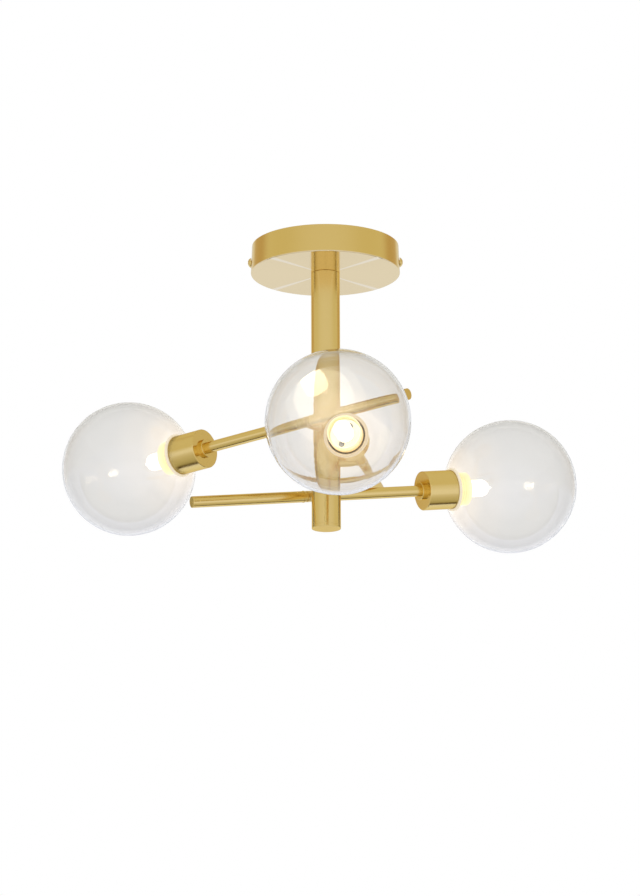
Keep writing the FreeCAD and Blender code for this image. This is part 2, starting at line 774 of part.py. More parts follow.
def make_holder_screws(side):
    """Two screws that hold the ceramic down in the sleeve, as one group of solids."""
    screws = []
    seat = "holder_front - holder_head_sink"
    for sign in ("-1", "1"):
        across = ("0", f"{sign} * holder_screw_spacing / 2")
        shank_back = "sleeve_step - holder_screw_bite + part_gap"
        shank = rod("holder_shank", "holder_screw_radius", shank_back, f"{seat} - ({shank_back})", across)
        head = rod("holder_head", "holder_head_radius", seat, "holder_head_height", across)
        slot = block("holder_driver_slot",
                     ("-holder_head_radius", f"{across[1]} - driver_slot / 3",
                      f"{seat} + holder_head_height - driver_slot / 2"),
                     ("2 * holder_head_radius", "driver_slot * 2 / 3", "driver_slot"))
        screws.append(cut("holder_screw", fuse("holder_screw_solid", [shank, head]), [slot]))
    pair = doc.addObject("Part::Compound", "holder_screw_pair")
    pair.Links = screws
    keep(pair, side + "_holder_screws", turned_holder_frame(side))


def make_bulb(side):
    """G9 bulb: ceramic base with two pins, glowing core, and clear capsule with a drawn tip."""
    place = turned_holder_frame(side)
    base = rod("bulb_base_disc", "bulb_radius - bulb_wall / 2", "bulb_back", "bulb_base_height")
    pins = [block("bulb_pin", (f"{sign} * pin_spacing / 2 - pin_sheet / 2", "-pin_width / 2",
                               "bulb_back - pin_length"), ("pin_sheet", "pin_width", "pin_length + 1"))
            for sign in ("-1", "1")]
    keep(fuse("bulb_base_solid", [base] + pins), side + "_bulb_base", place)
    core = turned_body(side + "_core", [
        ("0", "capsule_back"),
        ("core_radius", "capsule_back"),
        ("core_radius", "capsule_back + core_length - core_radius"),
        ("core_radius / 2", "capsule_back + core_length"),
        ("0", "capsule_back + core_length"),
    ])
    keep(core, side + "_bulb_core", place)
    shoulder = "bulb_front - bulb_tip_length - bulb_radius"
    outside = [
        rod("capsule_wall", "bulb_radius", "capsule_back", f"{shoulder} - capsule_back"),
        primitive("Part::Sphere", "capsule_dome", ("0", "0", shoulder), Radius="bulb_radius"),
        primitive("Part::Cone", "capsule_tip", ("0", "0", f"{shoulder} + bulb_radius * 0.8"),
                  Radius1="bulb_tip_radius * 1.6", Radius2="bulb_tip_radius * 0.3",
                  Height="bulb_tip_length + bulb_radius * 0.2"),
    ]
    inner = "bulb_radius - bulb_wall"
    inside = [
        rod("capsule_bore", inner, "capsule_back - 1", f"{shoulder} - capsule_back + 1"),
        primitive("Part::Sphere", "capsule_hollow", ("0", "0", shoulder), Radius=inner),
    ]
    keep(cut("capsule_cut", fuse("capsule_solid", outside), inside), side + "_bulb_capsule", place)


def make_gasket(side):
    """Ring on the cup's rim; its front follows the glass a small gap away."""
    touch = "globe_centre - part_gap - sqrt(globe_radius ^ 2 - ({0}) ^ 2)"
    body = turned_body(side + "_gasket", [
        ("cup_bore", "gasket_back"),
        ("gasket_radius", "gasket_back"),
        ("gasket_radius", touch.format("gasket_radius")),
        ("cup_bore", touch.format("cup_bore")),
    ])
    keep(body, side + "_gasket", arm_frame(side))


def make_globe(side):
    """Blown glass globe whose short neck stands between the cup and the sleeve."""
    ball = primitive("Part::Sphere", "globe_ball", ("0", "0", "globe_centre"), Radius="globe_radius")
    neck = rod("globe_neck", "neck_outside", "neck_back", "globe_centre - globe_bore - neck_back + 2 * glass_wall")
    hollow = primitive("Part::Sphere", "globe_hollow", ("0", "0", "globe_centre"), Radius="globe_bore")
    bore = rod("globe_mouth", "neck_bore", "neck_back - 1", "globe_centre - neck_back")
    keep(cut("globe_cut", fuse("globe_solid", [ball, neck]), [hollow, bore]), side + "_globe", arm_frame(side))


def make_arm(side):
    """Every piece of one arm."""
    make_knuckle(side)
    make_tube(side, "lamp_tube", "knuckle_half", "tube_end")
    make_tube(side, "tail_tube", "-tail_reach + tail_cap_sheet", "-knuckle_half")
    make_tail_cap(side)
    make_arm_lead(side)
    make_collar(side)
    make_cup(side)
    make_sleeve(side)
    make_lampholder(side)
    make_holder_screws(side)
    make_bulb(side)
    make_gasket(side)
    make_globe(side)


# ---------------------------------------------------------------- build, check, write

def check_document():
    """Stop if a feature failed or a piece isn't a valid solid."""
    for item in doc.Objects:
        if "Invalid" in item.State or "Error" in item.State:
            raise RuntimeError(f"{item.Label} failed: {item.State}")
    for piece in pieces:
        if piece.Shape.isNull() or not piece.Shape.isValid() or not piece.Shape.Solids:
            raise RuntimeError(f"{piece.Label} is not a valid solid")


def write_pieces():
    """One STEP file for each piece."""
    os.makedirs("parts", exist_ok=True)
    for piece in pieces:
        piece.Shape.exportStep(f"parts/{piece.Label}.step")
        print(f"{piece.Label}: {len(piece.Shape.Solids)} solid(s), {piece.Shape.Volume:.1f} mm3")


fill_sheet()
make_canopy()
make_ceiling_strap()
make_side_screw("right", 1)
make_side_screw("left", -1)
make_earth_screw()
make_terminal_block()
make_stem_nipple()
make_stem_locknut()
make_stem_plug()
make_stem_tube()
make_stem_cap()
make_stem_leads()
for arm in ARMS:
    make_stub(arm)
    make_arm(arm)
doc.recompute()
check_document()
write_pieces()
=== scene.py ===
"""Semi flush ceiling light: brass canopy and stem, three tilting arms, clear glass globes.

All sizes in the classes are in millimetres, as in the part's source, and every mesh is
brought to metres and to its place in the frame when it is made.
"""
import json
import logging
import math
from collections.abc import Sequence
from dataclasses import dataclass, field
from enum import Enum
from functools import cache

import bmesh
import bpy
import numpy as np
from mathutils import Euler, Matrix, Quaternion


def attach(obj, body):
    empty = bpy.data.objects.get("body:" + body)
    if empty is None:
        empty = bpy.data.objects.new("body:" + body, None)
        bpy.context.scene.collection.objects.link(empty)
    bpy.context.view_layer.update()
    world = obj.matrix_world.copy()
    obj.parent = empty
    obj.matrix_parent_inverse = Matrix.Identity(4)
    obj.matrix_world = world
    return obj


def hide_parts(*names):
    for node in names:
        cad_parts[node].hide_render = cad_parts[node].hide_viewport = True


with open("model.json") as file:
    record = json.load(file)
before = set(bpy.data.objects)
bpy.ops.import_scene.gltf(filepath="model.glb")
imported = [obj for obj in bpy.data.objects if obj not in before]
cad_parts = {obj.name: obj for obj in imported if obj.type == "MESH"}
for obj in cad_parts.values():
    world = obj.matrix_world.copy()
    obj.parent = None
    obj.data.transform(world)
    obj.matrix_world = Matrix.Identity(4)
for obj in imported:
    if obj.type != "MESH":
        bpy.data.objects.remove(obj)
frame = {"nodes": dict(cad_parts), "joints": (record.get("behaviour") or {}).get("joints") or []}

LOG = logging.getLogger("ceiling_light")
MM = 0.001
TURN = 2.0 * math.pi
MAP_NAME = "surface"
MERGE_DISTANCE = 1e-7
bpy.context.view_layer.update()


class Side(Enum):
    """The three arms, named as the photograph shows them."""

    LEFT = "left"
    RIGHT = "right"
    FRONT = "front"


# ---------------------------------------------------------------- places and shapes


@dataclass(frozen=True)
class Place:
    """A frame that a piece is made in: z along the piece, x across it.

    Args:
        origin: where the piece's own zero lies, in millimetres.
        across: the direction of the piece's x axis.
        along: the direction of the piece's z axis.
    """

    origin: np.ndarray
    across: np.ndarray
    along: np.ndarray

    def to_world(self, points: np.ndarray) -> np.ndarray:
        """World points in metres: origin + x * across + y * (along x across) + z * along.

        Args:
            points: an (n, 3) array in millimetres, in this frame.

        Returns:
            The (n, 3) array in metres, in the row frame.
        """
        axes = np.stack([self.across, np.cross(self.along, self.across), self.along])
        return (points @ axes + self.origin) * MM


STEM_PLACE = Place(np.zeros(3), np.array([1.0, 0.0, 0.0]), np.array([0.0, 0.0, 1.0]))


def joint(name: str) -> dict[str, object]:
    """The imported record's joint of that name."""
    return next(entry for entry in frame["joints"] if entry["name"] == name)


def arm_place(side: Side) -> Place:
    """The frame of an arm: zero on its pivot, z towards the lamp, x away from the stem.

    Args:
        side: which arm.

    Returns:
        The place, read from the arm's joints.
    """
    tilt = joint(f"{side.value}_arm_tilt")
    travel = joint(f"{side.value}_globe_travel")
    origin = np.array(tilt["pos_m"]) / MM
    return Place(origin, -np.array(tilt["axis"]), np.array(travel["axis"]))


def softened(corners: Sequence[tuple[float, float, float]], closed: bool) -> np.ndarray:
    """Outline with each corner rounded, and a support point just outside each rounding.

    A corner is the curve (1-t)^2 * enter + 2t(1-t) * corner + t^2 * leave, where enter and
    leave lie the corner's rounding back along its two edges, or nearly half a shorter edge.

    Args:
        corners: (radius, station, rounding) of each corner, in millimetres.
        closed: whether the last corner joins the first one.

    Returns:
        An (n, 2) array of radius and station.
    """
    data = np.array(corners, dtype=float)
    points, rounding = data[:, :2], data[:, 2:]
    before, after = np.roll(points, 1, axis=0), np.roll(points, -1, axis=0)
    back, ahead = before - points, after - points
    back_length = np.linalg.norm(back, axis=1, keepdims=True)
    ahead_length = np.linalg.norm(ahead, axis=1, keepdims=True)
    back, ahead = back / back_length, ahead / ahead_length
    shortest = np.minimum(back_length, ahead_length)
    if not closed:
        shortest[0], shortest[-1] = ahead_length[0], back_length[-1]
    setback = np.minimum(rounding, 0.42 * shortest)
    support = np.minimum(0.25 * rounding + 0.02, 0.05 * shortest)
    enter, leave = points + back * setback, points + ahead * setback
    share = np.linspace(0.0, 1.0, 6)[None, :, None]
    curve = ((1 - share) ** 2 * enter[:, None] + 2 * share * (1 - share) * points[:, None]
             + share ** 2 * leave[:, None])
    rows = np.concatenate([
        (enter + back * support)[:, None], curve, (leave + ahead * support)[:, None]], axis=1)
    if closed:
        return rows.reshape(-1, 2)
    return np.concatenate([points[:1], rows[1:-1].reshape(-1, 2), points[-1:]])


def arc(centre: float, radius: float, start: float, end: float, count: int) -> np.ndarray:
    """Part of a circle about the axis point at one station: radius * (sin a, -cos a) + (0, centre).

    Args:
        centre: station of the circle's centre.
        radius: the circle's radius.
        start: first angle in degrees, 0 towards lower stations.
        end: last angle in degrees.
        count: number of points.

    Returns:
        A (count, 2) array of radius and station.
    """
    angle = np.radians(np.linspace(start, end, count))
    return np.stack([radius * np.sin(angle), centre - radius * np.cos(angle)], axis=1)


def mesh_object(name: str, points: np.ndarray, quads: np.ndarray, uv: np.ndarray) -> bpy.types.Object:
    """A smooth mesh piece from grid data, with doubles merged and faces turned outwards.

    Args:
        name: the piece's name.
        points: (n, 3) world points in metres.
        quads: (m, 4) indices.
        uv: (m, 4, 2) texture position of every face corner.

    Returns:
        The new object, linked to the scene.
    """
    mesh = bpy.data.meshes.new(name)
    mesh.from_pydata(points.tolist(), [], quads.tolist())
    layer = mesh.uv_layers.new(name=MAP_NAME)
    layer.data.foreach_set("uv", uv.reshape(-1).astype(np.float32))
    work = bmesh.new()
    work.from_mesh(mesh)
    bmesh.ops.remove_doubles(work, verts=work.verts, dist=MERGE_DISTANCE)
    bmesh.ops.dissolve_degenerate(work, edges=work.edges, dist=MERGE_DISTANCE)
    bmesh.ops.recalc_face_normals(work, faces=work.faces)
    work.to_mesh(mesh)
    work.free()
    mesh.polygons.foreach_set("use_smooth", np.ones(len(mesh.polygons), dtype=bool))
    piece = bpy.data.objects.new(name, mesh)
    bpy.context.scene.collection.objects.link(piece)
    return piece


def turned(name: str, outline: np.ndarray, place: Place, closed: bool = True,
           sides: int = 96) -> bpy.types.Object:
    """Surface of turning: x = r cos a, y = r sin a, z = station, for a full turn of a.

    The piece's own map runs once around in u, as arc length at the widest radius, and along
    the outline in v, both in metres.

    Args:
        name: the piece's name.
        outline: (n, 2) radius and station in millimetres.
        place: the frame that it is made in.
        closed: whether the outline's ends join. An open one ends on the axis.
        sides: number of faces around.

    Returns:
        The new object.
    """
    if closed:
        outline = np.concatenate([outline, outline[:1]])
    angle = np.linspace(0.0, TURN, sides + 1)
    radius, station = outline[:, 0:1], outline[:, 1:2]
    grid = np.stack(np.broadcast_arrays(radius * np.cos(angle), radius * np.sin(angle), station), axis=2)
    rows = len(outline)
    index = np.arange(rows * (sides + 1)).reshape(rows, sides + 1)
    quads = np.stack([index[:-1, :-1], index[:-1, 1:], index[1:, 1:], index[1:, :-1]], axis=2)
    quads = quads.reshape(-1, 4)
    length = np.concatenate([[0.0], np.cumsum(np.linalg.norm(np.diff(outline, axis=0), axis=1))])
    across = angle * radius.max() * MM
    chart = np.stack(np.broadcast_arrays(across[None, :], length[:, None] * MM), axis=2).reshape(-1, 2)
    return mesh_object(name, place.to_world(grid.reshape(-1, 3)), quads, chart[quads])


# ---------------------------------------------------------------- finishes


Colour = tuple[float, float, float]
Bands = tuple[tuple[float, Colour], ...]
Socket = bpy.types.NodeSocket
Tree = bpy.types.NodeTree
BRUSH_STRETCH = 0.02
CLOUD_RANGE = (0.3, 0.7)


class Ease(Enum):
    """How a value crosses from one end of its range to the other."""

    STRAIGHT = "LINEAR"
    SOFT = "SMOOTHSTEP"
    SOFTER = "SMOOTHERSTEP"


def node(tree: Tree, kind: str, inputs: dict[str, object] | None = None,
         **settings: object) -> bpy.types.Node:
    """A new node with its properties and input values set.

    Args:
        tree: the tree that the node goes into.
        kind: Blender's node type.
        inputs: values of its input sockets, by name.
        settings: properties of the node.

    Returns:
        The node.
    """
    made = tree.nodes.new(kind)
    for key, value in settings.items():
        setattr(made, key, value)
    for key, value in (inputs or {}).items():
        made.inputs[key].default_value = value
    return made


def feed(tree: Tree, value: object, socket: Socket) -> None:
    """Link a socket to another one, or set it to a number or a colour.

    Args:
        tree: the tree that holds the socket.
        value: a socket, a number or a colour of three shares.
        socket: the input socket.
    """
    if isinstance(value, bpy.types.NodeSocket):
        tree.links.new(value, socket)
    else:
        socket.default_value = (*value, 1.0) if isinstance(value, tuple) else value


def reckoned(tree: Tree, operation: str, *terms: object) -> Socket:
    """Result of a Math node.

    Args:
        tree: the tree that the node goes into.
        operation: Blender's name of the operation.
        terms: its inputs in order, each a socket or a number.

    Returns:
        The value socket.
    """
    made = node(tree, "ShaderNodeMath", operation=operation)
    for term, socket in zip(terms, made.inputs):
        feed(tree, term, socket)
    return made.outputs["Value"]


def ranged(tree: Tree, value: Socket, source: tuple[float, float], target: tuple[float, float] = (0.0, 1.0),
           ease: Ease = Ease.STRAIGHT) -> Socket:
    """A value carried from one range to another and held at the ends.

    Args:
        tree: the tree that the node goes into.
        value: the socket to carry over.
        source: the value's range.
        target: the result's range.
        ease: how the range is crossed.

    Returns:
        The result socket.
    """
    made = node(tree, "ShaderNodeMapRange", interpolation_type=ease.value, inputs={
        "From Min": source[0], "From Max": source[1], "To Min": target[0], "To Max": target[1]})
    tree.links.new(value, made.inputs["Value"])
    return made.outputs["Result"]


def blended(tree: Tree, share: Socket, first: object, second: object, blend: str = "MIX") -> Socket:
    """Two colours mixed by a share, or the first one multiplied by the second.

    Args:
        tree: the tree that the node goes into.
        share: how much of the second colour is used.
        first: a socket or a colour.
        second: a socket or a colour.
        blend: Blender's name of the way to blend.

    Returns:
        The colour socket.
    """
    made = node(tree, "ShaderNodeMix", data_type="RGBA", blend_type=blend)
    for key, value in (("Factor", share), ("A", first), ("B", second)):
        feed(tree, value, made.inputs[key])
    return made.outputs["Result"]


def banded(tree: Tree, share: Socket, stops: Sequence[tuple[float, Colour]]) -> Socket:
    """Colour that runs softly from stop to stop.

    Args:
        tree: the tree that the node goes into.
        share: where along the stops, from 0 to 1.
        stops: (position from 0 to 1, linear colour) in order.

    Returns:
        The colour socket.
    """
    ramp = node(tree, "ShaderNodeValToRGB")
    tree.links.new(share, ramp.inputs["Fac"])
    ramp.color_ramp.interpolation = "EASE"
    elements = ramp.color_ramp.elements
    while len(elements) > 1:
        elements.remove(elements[-1])
    for index, (position, colour) in enumerate(stops):
        stop = elements[0] if index == 0 else elements.new(position)
        stop.position = position
        stop.color = (*colour, 1.0)
    return ramp.outputs["Color"]


def raised(tree: Tree, height: Socket, distance: float, strength: float = 1.0) -> Socket:
    """Normal of a surface that a pattern raises.

    Args:
        tree: the tree that the node goes into.
        height: the pattern.
        distance: its full height in metres.
        strength: share of the effect.

    Returns:
        The normal socket.
    """
    made = node(tree, "ShaderNodeBump", inputs={"Strength": strength, "Distance": distance})
    tree.links.new(height, made.inputs["Height"])
    return made.outputs["Normal"]


def own_map(tree: Tree) -> tuple[Socket, Socket, Socket]:
    """The piece's own map, in metres.

    Args:
        tree: the tree that the nodes go into.

    Returns:
        Sockets of the position, the way around (u) and the way along the outline (v).
    """
    chart = node(tree, "ShaderNodeUVMap", uv_map=MAP_NAME)
    split = node(tree, "ShaderNodeSeparateXYZ")
    tree.links.new(chart.outputs["UV"], split.inputs["Vector"])
    return chart.outputs["UV"], split.outputs["X"], split.outputs["Y"]


def object_place(tree: Tree) -> Socket:
    """Socket of the position in the part's frame."""
    return node(tree, "ShaderNodeTexCoord").outputs["Object"]


def stretched(tree: Tree, position: Socket, around: float) -> Socket:
    """A map position squeezed around the piece, so that a pattern on it is drawn out that way.

    Args:
        tree: the tree that the node goes into.
        position: the piece's map position.
        around: factor on the way around.

    Returns:
        The vector socket.
    """
    made = node(tree, "ShaderNodeMapping", inputs={"Scale": (around, 1.0, 1.0)})
    tree.links.new(position, made.inputs["Vector"])
    return made.outputs["Vector"]


def seen_glow(tree: Tree, strength: float) -> Socket:
    """Glow that shows when looked at or seen through glass, and isn't mirrored in the glass balls.

    Args:
        tree: the material's node tree.
        strength: emission strength.

    Returns:
        The strength socket.
    """
    path = node(tree, "ShaderNodeLightPath")
    seen = reckoned(tree, "MAXIMUM", path.outputs["Is Camera Ray"], path.outputs["Is Transmission Ray"])
    return reckoned(tree, "MULTIPLY", seen, strength)


def brushed_group() -> Tree:
    """Node group of fine brushing: streaks along the stretch of its vector, and slow clouds.

    Returns:
        The group, built once.
    """
    found = bpy.data.node_groups.get("brushed grain")
    if found:
        return found
    group = bpy.data.node_groups.new("brushed grain", "ShaderNodeTree")
    face = group.interface
    face.new_socket("Vector", in_out="INPUT", socket_type="NodeSocketVector")
    face.new_socket("Scale", in_out="INPUT", socket_type="NodeSocketFloat").default_value = 4000.0
    face.new_socket("Streak", in_out="OUTPUT", socket_type="NodeSocketFloat")
    face.new_socket("Cloud", in_out="OUTPUT", socket_type="NodeSocketFloat")
    start = group.nodes.new("NodeGroupInput")
    end = group.nodes.new("NodeGroupOutput")
    streak = node(group, "ShaderNodeTexNoise", {"Detail": 4.0, "Roughness": 0.65}, noise_dimensions="3D")
    cloud = node(group, "ShaderNodeTexNoise", {"Scale": 60.0, "Detail": 3.0}, noise_dimensions="3D")
    group.links.new(start.outputs["Vector"], streak.inputs["Vector"])
    group.links.new(start.outputs["Scale"], streak.inputs["Scale"])
    group.links.new(start.outputs["Vector"], cloud.inputs["Vector"])
    group.links.new(streak.outputs["Fac"], end.inputs["Streak"])
    group.links.new(cloud.outputs["Fac"], end.inputs["Cloud"])
    return group


def grain(tree: Tree, position: Socket, scale: float) -> tuple[Socket, Socket]:
    """The shared brushing at a position.

    Args:
        tree: the tree that the group is placed in.
        position: where the pattern is read.
        scale: streaks per metre.

    Returns:
        Sockets of the streaks and the clouds.
    """
    made = node(tree, "ShaderNodeGroup", node_tree=brushed_group())
    made.inputs["Scale"].default_value = scale
    tree.links.new(position, made.inputs["Vector"])
    return made.outputs["Streak"], made.outputs["Cloud"]


def new_material(name: str, values: dict[str, object]) -> tuple[bpy.types.Material, Tree, bpy.types.Node]:
    """A new material whose shader has plain values.

    Args:
        name: the material's name.
        values: numbers or colours of the shader's inputs, by name.

    Returns:
        The material, its node tree and its shader.
    """
    made = bpy.data.materials.new(name)
    made.use_nodes = True
    shader = made.node_tree.nodes["Principled BSDF"]
    for key, value in values.items():
        feed(made.node_tree, value, shader.inputs[key])
    return made, made.node_tree, shader


@dataclass(frozen=True)
class SpunFacePaintedLight:
    """Painted light on a flat spun face with a wall round it: four faint painted glints across the face, and
    painted shade on the wall.

    Args:
        radius: radius of the face, in metres.
        painted_wall_shade: linear colour that the wall is multiplied by, a painted shade.
        painted_glint: strength of the four faint painted glints across the face.
        painted_glint_tint: linear colour of the painted glints.
        painted_glint_width: half width of the painted glints' lines, as a share of their wave.
        edge: where the face gives way to the wall, as shares of the radius.
    """

    radius: float
    painted_wall_shade: Colour
    painted_glint: float
    painted_glint_tint: Colour = (1.0, 0.95, 0.80)
    painted_glint_width: float = 0.16
    edge: tuple[float, float] = (0.93, 0.94)

    def tone(self, tree: Tree, around: Socket, along: Socket, colour: Socket) -> Socket:
        """Colour of the face with its painted glints, and of the wall with its painted shade.

        The map's v is the distance from the centre hole, and its u is the turn times the radius.
        The painted glints lie where |cos(2 * turn)| is near zero.

        Args:
            tree: the material's node tree.
            around: the map's u.
            along: the map's v.
            colour: the brushed colour.

        Returns:
            The colour socket.
        """
        edge = (self.radius * self.edge[0], self.radius * self.edge[1])
        # Painted highlight: four faint glints across the face, mixed into the base colour.
        wave = reckoned(tree, "COSINE", reckoned(tree, "MULTIPLY", around, 2.0 / self.radius))
        near = reckoned(tree, "ABSOLUTE", wave)
        peak = ranged(tree, near, (self.painted_glint_width, 0.0), ease=Ease.SOFTER)
        painted_glint_share = reckoned(tree, "MULTIPLY", peak, ranged(tree, along, edge, (self.painted_glint, 0.0)))
        face = blended(tree, painted_glint_share, colour, self.painted_glint_tint)
        # Painted shade: the wall beyond the face is multiplied darker.
        return blended(tree, ranged(tree, along, edge), face, self.painted_wall_shade, "MULTIPLY")


@dataclass(frozen=True)
class BrushedMetal:
    """Satin metal with fine brushing around the piece.

    Args:
        name: the material's name.
        light: linear colour of the bare metal.
        dark: linear colour in the brushing's grooves.
        roughness: mean roughness.
        spread: how far the roughness varies.
        anisotropy: how strongly the highlight is drawn across the brushing.
        relief: height of the brushing, in metres.
        scale: streaks per metre.
        edge_tint: colour of the metal where it is seen at a glancing angle.
        face: the painted glints and painted wall shade of a flat spun face, if the piece has one.
    """

    name: str
    light: Colour
    dark: Colour
    roughness: float
    spread: float
    anisotropy: float
    relief: float = 0.000004
    scale: float = 4000.0
    edge_tint: Colour = (0.92, 0.78, 0.50)
    face: SpunFacePaintedLight | None = None

    @cache
    def material(self) -> bpy.types.Material:
        """Build the material.

        Returns:
            The material, the same one at each call.
        """
        made, tree, shader = new_material(self.name, {
            "Metallic": 1.0, "Specular Tint": self.edge_tint, "Anisotropic": self.anisotropy,
            "Anisotropic Rotation": 0.25})
        chart, around, along = own_map(tree)
        streak, cloud = grain(tree, stretched(tree, chart, BRUSH_STRETCH), self.scale)
        tone = blended(tree, streak, self.dark, self.light)
        # Painted glints and painted wall shade on a spun face.
        if self.face:
            tone = self.face.tone(tree, around, along, tone)
        half = self.spread / 2
        rough = ranged(tree, cloud, CLOUD_RANGE, (self.roughness - half, self.roughness + half))
        tangent = node(tree, "ShaderNodeTangent", direction_type="UV_MAP", uv_map=MAP_NAME)
        tree.links.new(tone, shader.inputs["Base Color"])
        tree.links.new(rough, shader.inputs["Roughness"])
        tree.links.new(raised(tree, streak, self.relief), shader.inputs["Normal"])
        tree.links.new(tangent.outputs["Tangent"], shader.inputs["Tangent"])
        return made


@dataclass(frozen=True)
class PlainMetal:
    """Machined or plated metal for the nodes that keep their CAD shape and have no map.

    Args:
        name: the material's name.
        light: linear colour of the bare metal.
        dark: linear colour of its duller clouds.
        roughness: mean roughness.
        spread: how far the roughness varies.
        scale: streaks per metre.
    """

    name: str
    light: Colour
    dark: Colour
    roughness: float = 0.3
    spread: float = 0.16
    scale: float = 1500.0

    @cache
    def material(self) -> bpy.types.Material:
        """Build the material.

        Returns:
            The material, the same one at each call.
        """
        made, tree, shader = new_material(self.name, {"Metallic": 1.0})
        streak, cloud = grain(tree, object_place(tree), self.scale)
        half = self.spread / 2
        rough = ranged(tree, streak, (0.0, 1.0), (self.roughness - half, self.roughness + half))
        tree.links.new(blended(tree, cloud, self.dark, self.light), shader.inputs["Base Color"])
        tree.links.new(rough, shader.inputs["Roughness"])
        return made


@dataclass(frozen=True)
class ClearGlass:
    """Clear glass that lets the lamps' light straight through to what is behind it.

    Args:
        name: the material's name.
        tint: linear colour of the glass.
        clearness: share of light that passes through.
        ior: index of refraction.
        ripple: height of the blown rings near the neck, in metres.
        ring_reach: how far along the outline the rings go, in metres.
        ring_fade: share of that reach where they begin to fade.
        ring_scale: rings per metre.
        ring_stretch: how far the rings are drawn out around the neck.
        painted_halo: strength of a warm glow painted on the glass round the lamp, a painted halo of its
            light.
        painted_halo_reach: length along the outline that the painted halo's bands share, in metres.
        painted_halo_bands: (share of the reach, linear colour) of the painted halo, from the neck on.
        glow: strength of an even glow.
        glow_colour: linear colour of that glow.
    """

    name: str
    tint: Colour
    clearness: float = 1.0
    ior: float = 1.47
    ripple: float = 0.0
    ring_reach: float = 0.07
    ring_fade: float = 0.4
    ring_scale: float = 260.0
    ring_stretch: float = 0.03
    painted_halo: float = 0.0
    painted_halo_reach: float = 0.1
    painted_halo_bands: Bands = (
        (0.0, (0.55, 0.42, 0.26)), (0.12, (0.30, 0.21, 0.11)),
        (0.30, (0.09, 0.06, 0.03)), (0.55, (0.0, 0.0, 0.0)))
    glow: float = 0.0
    glow_colour: Colour = (1.0, 0.90, 0.70)

    def painted_halo_colour(self, tree: Tree) -> Socket:
        """Painted halo: warm glow painted on the glass round the lamp, fading with the distance from its
        neck.

        Args:
            tree: the material's node tree.

        Returns:
            The colour socket.
        """
        along = own_map(tree)[2]
        return banded(tree, ranged(tree, along, (0.0, self.painted_halo_reach)), self.painted_halo_bands)

    def rings(self, tree: Tree) -> Socket:
        """Fine blown rings around the neck, which fade out over the first part of the ball.

        Args:
            tree: the material's node tree.

        Returns:
            The normal socket.
        """
        chart, _, along = own_map(tree)
        wave = node(tree, "ShaderNodeTexNoise", {"Scale": self.ring_scale, "Detail": 2.0})
        tree.links.new(stretched(tree, chart, self.ring_stretch), wave.inputs["Vector"])
        fade = ranged(tree, along, (self.ring_reach, self.ring_reach * self.ring_fade), ease=Ease.SOFT)
        return raised(tree, reckoned(tree, "MULTIPLY", wave.outputs["Fac"], fade), self.ripple)

    @cache
    def material(self) -> bpy.types.Material:
        """Build the material: a shadow ray passes straight through, and any other one refracts.

        Returns:
            The material, the same one at each call.
        """
        made, tree, shader = new_material(self.name, {
            "Base Color": self.tint, "Roughness": 0.0, "Transmission Weight": self.clearness,
            "IOR": self.ior, "Emission Color": self.glow_colour})
        if self.glow or self.painted_halo:
            tree.links.new(seen_glow(tree, self.glow or self.painted_halo), shader.inputs["Emission Strength"])
        # Painted halo: the lamp's light painted on the glass in warm bands from the neck.
        if self.painted_halo:
            tree.links.new(self.painted_halo_colour(tree), shader.inputs["Emission Color"])
        if self.ripple:
            tree.links.new(self.rings(tree), shader.inputs["Normal"])
        clear = node(tree, "ShaderNodeBsdfTransparent", {"Color": (*self.tint, 1.0)})
        path = node(tree, "ShaderNodeLightPath")
        mix = node(tree, "ShaderNodeMixShader")
        tree.links.new(path.outputs["Is Shadow Ray"], mix.inputs["Fac"])
        tree.links.new(shader.outputs["BSDF"], mix.inputs[1])
        tree.links.new(clear.outputs["BSDF"], mix.inputs[2])
        tree.links.new(mix.outputs["Shader"], tree.nodes["Material Output"].inputs["Surface"])
        return made


@dataclass(frozen=True)
class Matt:
    """Ceramic, silicone, insulation and moulded plastic, mottled a little.

    Args:
        name: the material's name.
        light: linear colour of its lighter spots.
        dark: linear colour of its darker spots.
        roughness: its roughness.
        scale: spots per metre.
        relief: height of the spots, in metres.
        glow: strength of its emission: a painted glow of the lamp's light for the ceramic and the silicone,
            and the lamp's own light for the core.
        lights: whether it is the source that lights what is round it.
        glow_colour: linear colour of the glow.
    """

    name: str
    light: Colour
    dark: Colour
    roughness: float = 0.6
    scale: float = 400.0
    relief: float = 0.00003
    glow: float = 0.0
    lights: bool = False
    glow_colour: Colour = (1.0, 0.85, 0.6)

    @cache
    def material(self) -> bpy.types.Material:
        """Build the material.

        Returns:
            The material, the same one at each call.
        """
        made, tree, shader = new_material(self.name, {
            "Roughness": self.roughness, "Emission Color": self.glow_colour})
        # Painted glow of the lamp's light, except where the piece is the lamp's core itself.
        if self.glow:
            strength = self.glow if self.lights else seen_glow(tree, self.glow)
            feed(tree, strength, shader.inputs["Emission Strength"])
        cloud = node(tree, "ShaderNodeTexNoise", {"Scale": self.scale, "Detail": 4.0})
        spots = cloud.outputs["Fac"]
        tree.links.new(object_place(tree), cloud.inputs["Vector"])
        tree.links.new(blended(tree, spots, self.dark, self.light), shader.inputs["Base Color"])
        tree.links.new(raised(tree, spots, self.relief, strength=0.4), shader.inputs["Normal"])
        return made


